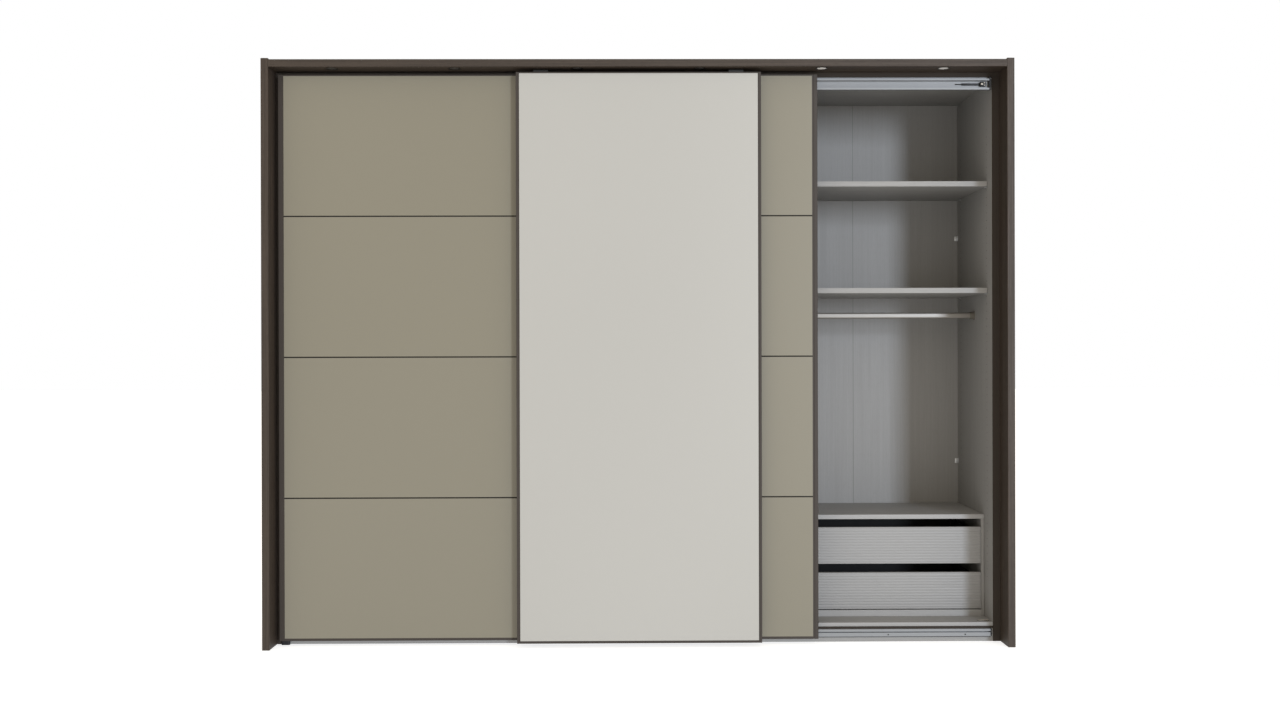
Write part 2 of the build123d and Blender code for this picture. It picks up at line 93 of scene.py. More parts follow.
class Graph:
    # a material and its Principled shader
    def __init__(self, name):
        self.material = bpy.data.materials.new(name)
        self.material.use_nodes = True
        self.tree = self.material.node_tree
        self.shader = self.tree.nodes["Principled BSDF"]
        self.coordinates = self.node("ShaderNodeTexCoord", output="Object")

    def feed(self, socket, value):
        if isinstance(value, Wire):
            self.tree.links.new(value.socket, socket)
        else:
            socket.default_value = value

    def node(self, kind, settings=None, inputs=None, output=0):
        made = self.tree.nodes.new(kind)
        for key, value in (settings or {}).items():
            if key == "stops":
                ramp = made.color_ramp.elements
                while len(ramp) < len(value):
                    ramp.new(1.0)
                for element, (place, level) in zip(ramp, value):
                    element.position = place
                    element.color = (level, level, level, 1)
            else:
                setattr(made, key, value)
        for key, value in (inputs or {}).items():
            self.feed(made.inputs[key], value)
        return Wire(self, made.outputs[output])

    def maths(self, operation, first, second):
        return self.node("ShaderNodeMath", {"operation": operation}, {0: first, 1: second})

    def noise(self, stretch, detail):
        # stretch gives how fast the pattern changes along X, Y and Z, per metre
        placed = self.node("ShaderNodeMapping", {}, {"Vector": self.coordinates, "Scale": stretch})
        sockets = {"Vector": placed, "Scale": 1.0, "Detail": detail, "Roughness": 0.55}
        return self.node("ShaderNodeTexNoise", {}, sockets)

    def ramp(self, wire, *stops):
        return self.node("ShaderNodeValToRGB", {"stops": stops}, {"Fac": wire})

    def mix(self, amount, first, second):
        return self.node("ShaderNodeMix", {"data_type": "RGBA"},
                         {"Factor": amount, 6: first, 7: second}, output=2)

    def bump(self, height, strength, distance):
        sockets = {"Height": height, "Strength": strength, "Distance": distance}
        return self.node("ShaderNodeBump", {}, sockets)

    def finish(self, **sockets):
        for name, value in sockets.items():
            self.feed(self.shader.inputs[name.replace("_", " ")], value)
        return self.material


def shade(red, green, blue, factor=1.0):
    return (red * factor, green * factor, blue * factor, 1)


# ---- materials

decors = {
    "frame": {"colour": (0.042, 0.031, 0.023), "spread": 0.34, "pores": 0.5, "rough": 0.55, "shine": 0.25},
    "body": {"colour": (0.259, 0.253, 0.243), "spread": 0.045, "pores": 0.10, "rough": 0.58, "shine": 0.4},
    # floor: the body decor made lighter for the low boards, to offset the shade low in the bays: painted
    # light
    "floor": {"colour": (0.292, 0.288, 0.282), "spread": 0.045, "pores": 0.10, "rough": 0.58, "shine": 0.4},
    "joint": {"colour": (0.18, 0.177, 0.170), "spread": 0.05, "pores": 0.10, "rough": 0.6, "shine": 0.3},
    "front": {"colour": (0.262, 0.259, 0.255), "spread": 0.022, "pores": 0.06, "rough": 0.50, "shine": 0.4},
}


def decorBoard(name, kind, along):
    # printed wood decor: broad bands, fine streaks and short open pores, all drawn out along the grain
    facts = decors[kind]
    graph = Graph(name)
    across = {"X": (0.6, 22, 22), "Z": (22, 22, 0.6)}[along]
    streaks = {"X": (2.5, 190, 190), "Z": (190, 190, 2.5)}[along]
    pores = {"X": (28, 900, 900), "Z": (900, 900, 28)}[along]
    bands = graph.ramp(graph.noise(across, detail=3), (0.3, 0.0), (0.7, 1.0))
    lines = graph.ramp(graph.noise(streaks, detail=5), (0.36, 0.0), (0.64, 1.0))
    holes = graph.ramp(graph.noise(pores, detail=2), (0.36, 1.0), (0.44, 0.0))
    spread = facts["spread"]
    dark = shade(*facts["colour"], 1 - spread)
    light = shade(*facts["colour"], 1 + spread)
    pore = shade(*facts["colour"], 1 - facts["pores"])
    tone = graph.mix(0.45 * bands + 0.55 * lines, dark, light)
    colour = graph.mix(0.6 * holes, tone, pore)
    height = 0.35 * lines - 0.65 * holes
    return graph.finish(
        Base_Color=colour,
        Roughness=facts["rough"] + 0.10 * holes - 0.06 * lines,
        Specular_IOR_Level=facts["shine"],
        Normal=graph.bump(height, 0.25, 0.12 * mm),
    )


def lacqueredGlass(name, colour):
    # satin glass over an even coat of lacquer, with very slow waves in the sheet; the "ground"
    # attribute of its faces marks the dark ground edges
    graph = Graph(name)
    cloud = graph.noise((0.7, 0.7, 0.5), detail=1)
    grit = graph.noise((2600, 2600, 2600), detail=2)
    waves = graph.noise((1.6, 1.6, 0.9), detail=1)
    cloud = graph.ramp(cloud, (0.3, 0.0), (0.7, 1.0))
    tone = graph.mix(cloud, shade(*colour, 0.975), shade(*colour, 1.025))
    ground = graph.node("ShaderNodeAttribute", {"attribute_name": "ground"}, {}, output="Fac")
    return graph.finish(
        Base_Color=graph.mix(ground, tone, shade(*colour, 0.30)),
        Roughness=0.30 + 0.05 * grit + 0.45 * ground,
        IOR=1.5,
        Coat_Weight=0.15 - 0.15 * ground,
        Coat_Roughness=0.2,
        Normal=graph.bump(0.97 * waves + 0.03 * grit, 0.10, 0.6 * mm),
    )


def brushedMetal(name, colour, along, rough, metallic=1.0):
    # fine drawing lines along the profile, and a faint cloud in the anodising
    graph = Graph(name)
    drawn = {"X": (3, 1500, 1500), "Z": (1500, 1500, 3)}[along]
    lines = graph.noise(drawn, detail=4)
    cloud = graph.noise((14, 14, 14), detail=2)
    tone = graph.mix(0.5 * lines + 0.5 * cloud, shade(*colour, 0.90), shade(*colour, 1.10))
    return graph.finish(
        Base_Color=tone,
        Metallic=metallic,
        Roughness=rough - 0.06 + 0.12 * lines,
        Normal=graph.bump(lines, 0.3, 0.05 * mm),
    )


def mouldedPlastic(name, colour, rough=0.5, shine=0.5):
    # fine spark-eroded texture with a slightly uneven gloss
    graph = Graph(name)
    grain = graph.noise((1400, 1400, 1400), detail=3)
    cloud = graph.noise((30, 30, 30), detail=2)
    tone = graph.mix(cloud, shade(*colour, 0.88), shade(*colour, 1.12))
    return graph.finish(
        Base_Color=tone,
        Roughness=rough - 0.08 + 0.16 * cloud,
        Specular_IOR_Level=shine,
        Normal=graph.bump(grain, 0.25, 0.05 * mm),
    )


def zincPlate(name, colour):
    # small plating crystals with a soft, uneven shine
    graph = Graph(name)
    crystals = graph.node("ShaderNodeTexVoronoi", {}, {"Vector": graph.coordinates, "Scale": 420.0})
    cloud = graph.noise((40, 40, 40), detail=3)
    tone = graph.mix(0.4 * crystals + 0.6 * cloud, shade(*colour, 0.82), shade(*colour, 1.12))
    return graph.finish(
        Base_Color=tone,
        Metallic=1.0,
        Roughness=0.26 + 0.22 * cloud,
        Normal=graph.bump(crystals, 0.12, 0.03 * mm),
    )


def frostedLens(name, colour, glow):
    # lamp diffuser with fine frost and a glow of the given strength
    graph = Graph(name)
    frost = graph.noise((900, 900, 900), detail=3)
    tone = graph.mix(frost, shade(*colour, 0.94), shade(*colour, 1.0))
    return graph.finish(
        Base_Color=tone,
        Roughness=0.18 + 0.2 * frost,
        Emission_Color=tone,
        Emission_Strength=glow,
        Normal=graph.bump(frost, 0.2, 0.05 * mm),
    )


finishes = {
    "frame_decor": decorBoard("frameDecorUpright", "frame", "Z"),
    "frame_edge": mouldedPlastic("coverStripEdge", (0.037, 0.029, 0.023), 0.7, 0.2),
    "body_decor": decorBoard("bodyDecorUpright", "body", "Z"),
    "back_decor": decorBoard("backDecor", "body", "Z"),
    "drawer_decor": decorBoard("drawerDecor", "front", "X"),
    "insert_decor": decorBoard("insertDecor", "body", "Z"),
    "sand_glass": lacqueredGlass("sandLacqueredGlass", (0.173, 0.158, 0.117)),
    "pale_glass": lacqueredGlass("paleLacqueredGlass", (0.346, 0.338, 0.314)),
    "door_backing": mouldedPlastic("doorBackingBoard", (0.16, 0.15, 0.135), 0.6),
    "bronze_profile": brushedMetal("bronzeProfile", (0.030, 0.0225, 0.017), "Z", 0.6, 0.2),
    "rail_aluminium": brushedMetal("railAluminium", (0.212, 0.216, 0.219), "X", 0.55, 0.6),
    # near-black dividers: painted shade of the groove between the glass panels, darker than the profile's
    # own colour
    "divider_dark": mouldedPlastic("dividerGroovePaintedShade", (0.012, 0.010, 0.008), 0.7, 0.2),
    # near-black drawer boxes, their bottoms and the insert back: dark steel, made darker so that the gaps
    # between the drawers read black, which is painted shade
    "drawer_steel": mouldedPlastic("drawerSteelGapShade", (0.028, 0.028, 0.029), 0.55, 0.3),
    "zinc_steel": zincPlate("zincPlatedSteel", (0.58, 0.585, 0.59)),
    "black_steel": brushedMetal("blackSteel", (0.022, 0.021, 0.020), "X", 0.5, 0.6),
    "chrome": brushedMetal("clothesRailSteel", (0.24, 0.225, 0.205), "X", 0.42, 0.6),
    "nylon": mouldedPlastic("wheelNylon", (0.05, 0.05, 0.05), 0.42),
    "black_plastic": mouldedPlastic("blackPlastic", (0.008, 0.008, 0.009), 0.5, 0.3),
    "grey_plastic": mouldedPlastic("greyPlastic", (0.48, 0.44, 0.37), 0.45),
    "lamp_bezel": brushedMetal("lampBezelMetal", (0.05, 0.045, 0.04), "X", 0.35),
    "lamp_lens": frostedLens("lampLens", (0.05, 0.045, 0.04), 0.0),
}

# finishes of single nodes: boards whose grain runs crosswise, and others that differ from their slot
bodyAcross = decorBoard("bodyDecorAcross", "body", "X")
# lighter copy of the body decor for the bottom panels and the insert's top and plinth: painted light
paintedLightFloorAcross = decorBoard("floorDecorAcrossPaintedLight", "floor", "X")
ownFinish = {
    "frame_top_board": decorBoard("frameDecorAcross", "frame", "X"),
    "top_panels": bodyAcross,
    "shelves": bodyAcross,
    "plinths": bodyAcross,
    "bottom_panels": paintedLightFloorAcross,
    "insert_top": paintedLightFloorAcross,
    "insert_plinth": paintedLightFloorAcross,
    "clothes_rail_brackets": brushedMetal("railBracket", (0.15, 0.136, 0.112), "Z", 0.5, 0.4),
    "back_joint_strips": decorBoard("backJointStrip", "joint", "Z"),
}
slotOf = {part["node"]: part["material_slot"] for part in frame["record"]["subparts"]}
for node, piece in frame["nodes"].items():
    piece.data.materials.clear()
    piece.data.materials.append(ownFinish.get(node, finishes[slotOf[node]]))
print("stage: materials on", len(frame["nodes"]), "nodes")


# ---- mesh helpers

def addPiece(name, shape, body, slot, stands=(), smoothAngle=35):
    mesh = bpy.data.meshes.new(name)
    bmesh.ops.recalc_face_normals(shape, faces=shape.faces[:])
    shape.to_mesh(mesh)
    shape.free()
    mesh.materials.append(finishes[slot])
    mesh.shade_smooth()
    mesh.set_sharp_from_angle(angle=math.radians(smoothAngle))
    piece = bpy.data.objects.new(name, mesh)
    bpy.context.scene.collection.objects.link(piece)
    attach(piece, body)
    if stands:
        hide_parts(*stands)
    return piece


def bevelEdges(shape, edges, offset, segments=2):
    return bmesh.ops.bevel(shape, geom=edges, offset=offset, segments=segments, profile=0.5,
                           affect="EDGES", material=-1)


def addBlock(shape, low, high, offset, segments=2):
    # a block between two corners, with rounded edges
    low, high = Vector(low), Vector(high)
    made = bmesh.ops.create_cube(shape, size=1)
    bmesh.ops.scale(shape, vec=high - low, verts=made["verts"])
    bmesh.ops.translate(shape, vec=(low + high) / 2, verts=made["verts"])
    edges = list({edge for vert in made["verts"] for edge in vert.link_edges})
    bevelEdges(shape, edges, offset, segments)


def addSpun(shape, outline, centre, axis, steps=32):
    # outline is (distance from the axis, place along it); it is turned once round the axis
    axis = Vector(axis).normalized()
    side = axis.orthogonal().normalized()
    centre = Vector(centre)
    verts = [shape.verts.new(centre + side * reach + axis * along) for reach, along in outline]
    edges = [shape.edges.new(pair) for pair in zip(verts, verts[1:])]
    bmesh.ops.spin(shape, geom=verts + edges, cent=centre, axis=axis, dvec=(0, 0, 0),
                   angle=math.tau, steps=steps, use_merge=True)
    bmesh.ops.remove_doubles(shape, verts=shape.verts[:], dist=weld)


def addScrew(shape, centre, axis, radius, rise):
    # pan head with a cross recess, standing proud along axis
    axis = Vector(axis).normalized()
    rim = radius * 0.86
    outline = [(radius, 0), (radius, rise * 0.35), (rim, rise * 0.85), (radius * 0.45, rise), (0, rise)]
    addSpun(shape, outline, centre, axis, 20)
    side = axis.orthogonal().normalized()
    for turn in (0, math.pi / 2):
        arm = Matrix.Rotation(turn, 3, axis) @ side
        cross = axis.cross(arm)
        reach = arm * radius * 0.5 + cross * radius * 0.09
        made = bmesh.ops.create_cube(shape, size=1)
        turned = Matrix((arm * radius, cross * radius * 0.2, axis * rise * 0.12)).transposed().to_4x4()
        bmesh.ops.transform(shape, matrix=turned, verts=made["verts"])
        bmesh.ops.translate(shape, vec=Vector(centre) + axis * rise, verts=made["verts"])


def solidBoxes(node):
    # the box of each separate solid in a CAD node, from a merged copy of its mesh
    shape = bmesh.new()
    shape.from_mesh(frame["nodes"][node].data)
    bmesh.ops.remove_doubles(shape, verts=shape.verts[:], dist=weld)
    waiting = set(shape.verts)
    boxes = []
    while waiting:
        group = [waiting.pop()]
        for vert in group:
            for edge in vert.link_edges:
                other = edge.other_vert(vert)
                if other in waiting:
                    waiting.remove(other)
                    group.append(other)
        boxes.append([Vector([pick(vert.co[i] for vert in group) for i in range(3)])
                      for pick in (min, max)])
    shape.free()
    return sorted(boxes, key=lambda box: tuple(round(value, 3) for value in box[0]))


def drawSection(shape, corners, along):
    # a closed outline of corners, filled and drawn out along a direction
    face = shape.faces.new([shape.verts.new(corner) for corner in corners])
    drawn = bmesh.ops.extrude_face_region(shape, geom=[face])
    moved = [item for item in drawn["geom"] if isinstance(item, bmesh.types.BMVert)]
    bmesh.ops.translate(shape, vec=along, verts=moved)


doorNames = ("left_door", "middle_door", "right_door")


# ---- glass panels of the doors

glass = {"panels": 4, "edge": 0.4, "border": 11.0, "pillow": 0.25, "smoothAngle": 20}


def glassPanels(door):
    low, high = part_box(door + "_glass")
    count = glass["panels"] if door + "_dividers" in frame["nodes"] else 1
    gap = 0.0
    panel = high.z - low.z
    if count > 1:
        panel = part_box(door + "_dividers")[0].z - low.z
        gap = (high.z - low.z - count * panel) / (count - 1)
    shape = bmesh.new()
    for i in range(count):
        foot = low.z + i * (panel + gap)
        addBlock(shape, (low.x, low.y, foot), (high.x, high.y, foot + panel), glass["edge"] * mm)
    faces = [face for face in shape.faces if face.normal.y < -0.99 and face.calc_area() > 0.05]
    bmesh.ops.inset_individual(shape, faces=faces, thickness=glass["border"] * mm)
    pressed = list({vert for face in faces for vert in face.verts})
    bmesh.ops.translate(shape, vec=(0, glass["pillow"] * mm, 0), verts=pressed)
    shape.normal_update()
    ground = shape.faces.layers.float.new("ground")
    for face in shape.faces:
        face[ground] = 1.0 if abs(face.normal.y) < 0.99 else 0.0
    addPiece(door + "_glass_sheets", shape, door, slotOf[door + "_glass"], (door + "_glass",),
             glass["smoothAngle"])


for door in doorNames:
    glassPanels(door)
print("stage: glass")


# ---- door wheels

wheel = {"tyre": 12.0, "hubOuter": 7.2, "hubInner": 3.4, "bore": 3.05, "groove": 0.9, "half": 3.5}


def doorWheel(node):
    low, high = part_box(node)
    centre = (low + high) / 2
    half, tyre, bore = wheel["half"] * mm, wheel["tyre"] * mm, wheel["bore"] * mm
    hubOuter, hubInner = wheel["hubOuter"] * mm, wheel["hubInner"] * mm
    deep = tyre - wheel["groove"] * mm
    shape = bmesh.new()
    outline = [
        (hubOuter, -half * 0.7), (hubOuter + 1.0 * mm, -half), (tyre - 1.0 * mm, -half),
        (tyre, -half + 0.9 * mm), (tyre, -1.1 * mm), (deep, -0.5 * mm),
        (deep, 0.5 * mm), (tyre, 1.1 * mm), (tyre, half - 0.9 * mm),
        (tyre - 1.0 * mm, half), (hubOuter + 1.0 * mm, half), (hubOuter, half * 0.7),
        (hubInner + 1.2 * mm, half * 0.7), (hubInner, half * 0.95), (bore, half * 0.95),
        (bore, -half * 0.95), (hubInner, -half * 0.95), (hubInner + 1.2 * mm, -half * 0.7),
        (hubOuter, -half * 0.7),
    ]
    addSpun(shape, outline, centre, (0, 1, 0), 48)
    addPiece(node + "_roller", shape, node, "nylon", (node,))


for node in sorted(frame["nodes"]):
    if "_wheel_" in node:
        doorWheel(node)
print("stage: wheels")


# ---- lamps in the top board

lamps = {"bezel": 25.0, "inner": 19.5, "drop": 1.5, "seat": 12.0, "glinting": 2}
# the last two lamps get a lighter lens with a weak glow: a painted glint of reflected light on lamps that
# are not switched on
glintLens = frostedLens("lampLensPaintedGlint", (0.62, 0.60, 0.57), 0.10)


def lampRing(shape, place):
    outer, inner, drop = lamps["bezel"] * mm, lamps["inner"] * mm, lamps["drop"] * mm
    seat = lamps["seat"] * mm
    ring = [
        (outer, drop), (outer, 0.5 * mm), (outer - 0.5 * mm, 0.0), (inner + 2.2 * mm, 0.0),
        (inner + 1.5 * mm, 0.3 * mm), (inner + 0.4 * mm, 1.1 * mm), (inner, 1.4 * mm),
        (inner, seat), (inner + 2.8 * mm, seat), (inner + 2.8 * mm, drop), (outer, drop),
    ]
    addSpun(shape, ring, place, (0, 0, 1), 48)


def lampDome(shape, place):
    # a shallow moulded lens with a step round its middle
    inner = lamps["inner"] * mm - 0.3 * mm
    dome = [
        (0, 0.5 * mm), (inner * 0.36, 0.6 * mm), (inner * 0.40, 1.0 * mm), (inner * 0.72, 0.9 * mm),
        (inner * 0.94, 1.3 * mm), (inner, 1.8 * mm), (inner, 5 * mm), (0, 5 * mm),
    ]
    addSpun(shape, dome, place, (0, 0, 1), 40)


def makeLamps():
    rings, dull, bright = bmesh.new(), bmesh.new(), bmesh.new()
    places = [Vector(((low.x + high.x) / 2, (low.y + high.y) / 2, low.z))
              for low, high in solidBoxes("lamp_bezels")]
    for i, place in enumerate(places):
        lampRing(rings, place)
        lampDome(bright if i >= len(places) - lamps["glinting"] else dull, place)
    addPiece("lamp_rings", rings, "carcass", "lamp_bezel", ("lamp_bezels",))
    addPiece("lamp_domes", dull, "carcass", "lamp_lens", ("lamp_lenses",))
    # these domes carry the painted glint
    glinting = addPiece("lamp_domes_painted_glint", bright, "carcass", "lamp_lens", ("lamp_lenses",))
    glinting.data.materials[0] = glintLens


makeLamps()
print("stage: lamps")


# ---- row holes for the shelf pins, and the pins

holes = {"pitch": 32.0, "radius": 2.5, "proud": 0.15, "fromFloor": 176.0, "fromCeiling": 170.0}
boardRange = (15.0, 30.0)  # how thin and how thick a wall between two bays can be
pins = {"radius": 2.5, "collar": 4.2, "length": 9.0}


def pinRows():
    # the two rows that the pins stand in, front and back
    low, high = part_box("shelf_pins")
    return low.y + pins["radius"] * mm, high.y - pins["radius"] * mm


def bayWalls():
    # (place of a wall's face, direction into the bay) for the six inner faces
    tops = frame["nodes"]["top_panels"]
    xs = sorted({round(vert.co.x, 4) for vert in tops.data.vertices})
    edges = [xs[0]]
    for before, after in zip(xs, xs[1:]):
        if boardRange[0] * mm < after - before < boardRange[1] * mm:
            edges += [before, after]
    edges.append(xs[-1])
    return [(x, 1 if i % 2 == 0 else -1) for i, x in enumerate(edges)]


def rowHoles():
    shape = bmesh.new()
    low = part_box("bottom_panels")[1].z + holes["fromFloor"] * mm
    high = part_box("top_panels")[0].z - holes["fromCeiling"] * mm
    count = int((high - low) / (holes["pitch"] * mm)) + 1
    proud, radius = holes["proud"] * mm, holes["radius"] * mm
    for x, inward in bayWalls():
        for y in pinRows():
            for i in range(count):
                place = Vector((x, y, low + i * holes["pitch"] * mm))
                made = bmesh.ops.create_circle(shape, cap_ends=True, segments=12, radius=radius)
                turned = Matrix.Translation(place + Vector((inward * proud, 0, 0)))
                turned = turned @ Matrix.Rotation(math.pi / 2 * inward, 4, "Y")
                bmesh.ops.transform(shape, matrix=turned, verts=made["verts"])
    addPiece("row_holes", shape, "carcass", "black_plastic")


def wallSide(low, high):
    # the wall that a small fitting sits on, and the direction from it into the bay
    return min(bayWalls(), key=lambda wall: abs((low.x if wall[1] > 0 else high.x) - wall[0]))


def shelfPins():
    shape = bmesh.new()
    reach, collar, length = pins["radius"] * mm, pins["collar"] * mm, pins["length"] * mm
    outline = [
        (0, 0), (collar, 0), (collar, 0.8 * mm), (collar - 0.4 * mm, 1.2 * mm), (reach, 1.2 * mm),
        (reach, length - 0.7 * mm), (reach - 0.7 * mm, length), (0, length),
    ]
    for low, high in solidBoxes("shelf_pins"):
        wall, inward = wallSide(low, high)
        place = (wall, (low.y + high.y) / 2, (low.z + high.z) / 2)
        addSpun(shape, outline, place, (inward, 0, 0), 14)
    addPiece("shelf_pin_studs", shape, "carcass", "zinc_steel", ("shelf_pins",))


rowHoles()
shelfPins()
print("stage: row holes and shelf pins")


# ---- angle brackets that hold the backs

angles = {"sheet": 1.8, "screw": 2.6, "screwRise": 1.0, "screwLift": 6.0, "gusset": 7.0, "gussetThick": 1.4}


def backAngles():
    shape = bmesh.new()
    sheet = angles["sheet"] * mm
    for low, high in solidBoxes("back_fittings"):
        wall, inward = wallSide(low, high)
        near, far = sorted((wall, wall + inward * sheet))
        addBlock(shape, (near, low.y, low.z), (far, high.y, high.z), 0.5 * mm)
        addBlock(shape, (low.x, high.y - sheet, low.z), (high.x, high.y, high.z), 0.5 * mm)
        middle = (low.z + high.z) / 2
        size, thick = angles["gusset"] * mm, angles["gussetThick"] * mm
        corner = Vector((wall + inward * sheet, high.y - sheet, middle - thick / 2))
        corners = [corner, corner + Vector((inward * size, 0, 0)), corner + Vector((0, -size, 0))]
        drawSection(shape, corners, (0, 0, thick))
        for lift in (-angles["screwLift"] * mm, angles["screwLift"] * mm):
            spot = (wall + inward * sheet, (low.y + high.y) / 2 - 1 * mm, middle + lift)
            addScrew(shape, spot, (inward, 0, 0), angles["screw"] * mm, angles["screwRise"] * mm)
    addPiece("back_angles", shape, "carcass", "zinc_steel", ("back_fittings",))


backAngles()
print("stage: back angles")


# ---- feet and the cover over a foot adjuster

feet = {"pad": 10.5, "padHigh": 4.2, "neck": 5.2, "thread": 3.6}
cover = {"rim": 1.6, "rise": 0.7, "sunk": 0.5, "edge": 0.5}


def levellingFeet():
    shape = bmesh.new()
    pad, neck, tall = feet["pad"] * mm, feet["neck"] * mm, feet["padHigh"] * mm
    thread = feet["thread"] * mm
    for low, high in solidBoxes("feet"):
        top = high.z - low.z
        outline = [
            (0, 0), (pad - 1.5 * mm, 0), (pad, 1.5 * mm), (pad, tall - 0.8 * mm),
            (pad - 0.8 * mm, tall), (neck + 0.6 * mm, tall + 0.5 * mm), (neck, tall + 1.2 * mm),
            (neck, top - 4 * mm), (thread, top - 4 * mm), (thread, top), (0, top),
        ]
        addSpun(shape, outline, ((low.x + high.x) / 2, (low.y + high.y) / 2, low.z), (0, 0, 1), 28)
    addPiece("levelling_feet", shape, "carcass", "black_plastic", ("feet",))


def adjusterCover():
    # an oval dark rim with a lighter lid in it
    low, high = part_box("foot_adjuster_cap")
    centre = (low + high) / 2
    stretch = (high.x - low.x - high.y + low.y) / 2
    rim, lid = bmesh.new(), bmesh.new()
    rimTop = high.z - cover["rise"] * mm
    lidBase = rimTop - cover["sunk"] * mm
    for shape, base, top, margin in ((rim, low.z, rimTop, 0), (lid, lidBase, high.z, cover["rim"])):
        radius = (high.y - low.y) / 2 - margin * mm
        made = bmesh.ops.create_circle(shape, cap_ends=True, segments=40, radius=radius)
        for vert in made["verts"]:
            vert.co.x += math.copysign(stretch, vert.co.x)
        drawn = bmesh.ops.extrude_face_region(shape, geom=shape.faces[:])
        raised = [item for item in drawn["geom"] if isinstance(item, bmesh.types.BMVert)]
        bmesh.ops.translate(shape, vec=(0, 0, top - base), verts=raised)
        bmesh.ops.translate(shape, vec=(centre.x, centre.y, base), verts=shape.verts)
        crest = [edge for edge in shape.edges if all(vert.co.z > top - weld for vert in edge.verts)]
        bevelEdges(shape, crest, cover["edge"] * mm)
    addPiece("adjuster_rim", rim, "carcass", "black_plastic", ("foot_adjuster_cap",))
    addPiece("adjuster_lid", lid, "carcass", "grey_plastic", ("foot_adjuster_cap",))


levellingFeet()
adjusterCover()
print("stage: feet")


# ---- soft-close dampers on the inner track

damper = {
    "block": 24.0, "bar": 76.0, "barTall": 9.0, "barDeep": 4.0, "pin": 2.6,
    "catch": (12.0, 21.0), "catchTall": 7.0, "catchOut": 0.5,
    "screwInset": 6.0, "screwLift": 5.0, "screw": 2.4, "screwRise": 0.6,
}


def softClose():
    bars, blocks, catches = bmesh.new(), bmesh.new(), bmesh.new()
    block, bar = damper["block"] * mm, damper["bar"] * mm
    tall, deep, pin = damper["barTall"] * mm, damper["barDeep"] * mm, damper["pin"] * mm
    catchHalf = damper["catchTall"] * mm / 2
    for low, high in solidBoxes("soft_close_dampers"):
        side = 1 if low.x > 0 else -1
        outer = high.x if side > 0 else low.x
        inner = low.x if side > 0 else high.x
        middle = (low.z + high.z) / 2
        near, far = sorted((outer, outer - side * block))
        addBlock(blocks, (near, low.y, low.z), (far, high.y, high.z), 1.2 * mm)
        for lift in (-damper["screwLift"] * mm, damper["screwLift"] * mm):
            spot = (outer - side * damper["screwInset"] * mm, low.y, middle + lift)
            addScrew(catches, spot, (0, -1, 0), damper["screw"] * mm, damper["screwRise"] * mm)
        near, far = sorted(outer - side * edge * mm for edge in damper["catch"])
        addBlock(catches, (near, low.y - damper["catchOut"] * mm, middle - catchHalf),
                 (far, low.y + 1 * mm, middle + catchHalf), 0.6 * mm)
        start = outer - side * block
        near, far = sorted((start, start - side * bar))
        addBlock(bars, (near, high.y - deep, middle - tall / 2),
                 (far, high.y, middle + tall / 2), 0.8 * mm)
        root = Vector((start - side * bar, high.y - deep / 2, middle))
        length = abs(inner - root.x)
        outline = [
            (0, 0), (pin * 0.8, 0), (pin * 0.8, length - 3 * mm), (pin, length - 3 * mm),
            (pin, length - 0.6 * mm), (pin - 0.6 * mm, length), (0, length),
        ]
        addSpun(bars, outline, root, (-side, 0, 0), 16)
    addPiece("damper_bars", bars, "carcass", "black_plastic", ("soft_close_dampers",))
    addPiece("damper_blocks", blocks, "carcass", "black_plastic", ("soft_close_dampers",))
    addPiece("damper_catches", catches, "carcass", "grey_plastic")


softClose()
print("stage: dampers")


# ---- drawers: ribbed fronts and telescopic runners

ribs = {"pitch": 11.9, "deep": 1.0, "groove": 0.7, "shoulder": 2.4, "smoothAngle": 50}
runner = {"wall": 1.4, "tall": 36.0, "wide": 12.0, "slideWide": 9.0, "slideTall": 20.0, "gap": 13.0}


def ribbedFront(drawer):
    low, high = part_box(drawer + "_front")
    pitch, deep = ribs["pitch"] * mm, ribs["deep"] * mm
    groove, shoulder = ribs["groove"] * mm, ribs["shoulder"] * mm
    count = int((high.z - low.z) / pitch)
    first = low.z + (high.z - low.z - (count - 1) * pitch) / 2
    section = [(high.y, low.z), (low.y + deep, low.z), (low.y + 0.2 * mm, low.z + 1 * mm)]
    slope = low.y + 0.35 * deep
    for i in range(count):
        z = first + i * pitch
        section += [
            (low.y, z - shoulder), (slope, z - shoulder * 0.6), (low.y + deep, z - groove),
            (low.y + deep, z + groove), (slope, z + shoulder * 0.6), (low.y, z + shoulder),
        ]
    section += [(low.y + 0.2 * mm, high.z - 1 * mm), (low.y + deep, high.z), (high.y, high.z)]
    shape = bmesh.new()
    drawSection(shape, [(low.x, y, z) for y, z in section], (high.x - low.x, 0, 0))
    addPiece(drawer + "_ribbed_front", shape, drawer, "drawer_decor", (drawer + "_front",),
             ribs["smoothAngle"])


def telescopicRunners():
    low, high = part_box("drawer_runners")
    wall, wide, tall = runner["wall"] * mm, runner["wide"] * mm, runner["tall"] * mm
    channels = bmesh.new()
    for drawer, foot in (("lower_drawer", low.z), ("upper_drawer", high.z - tall)):
        slides = bmesh.new()
        for edge, inward in ((low.x, 1), (high.x, -1)):
            lip = edge + inward * wide
            web = edge + inward * wall
            section = [
                (edge, foot), (lip, foot), (lip, foot + wall), (web, foot + wall),
                (web, foot + tall - wall), (lip, foot + tall - wall), (lip, foot + tall),
                (edge, foot + tall),
            ]
            drawSection(channels, [(x, low.y, z) for x, z in section], (0, high.y - low.y, 0))
            side = edge + inward * runner["gap"] * mm
            near, far = sorted((side, side - inward * runner["slideWide"] * mm))
            middle = foot + tall / 2
            half = runner["slideTall"] * mm / 2
            addBlock(slides, (near, low.y, middle - half), (far, high.y, middle + half), 2 * mm, 3)
        addPiece(drawer + "_slides", slides, drawer, "zinc_steel")
    addPiece("runner_channels", channels, "carcass", "zinc_steel", ("drawer_runners",), 30)


for drawer in ("lower_drawer", "upper_drawer"):
    ribbedFront(drawer)
telescopicRunners()
print("stage: drawers")
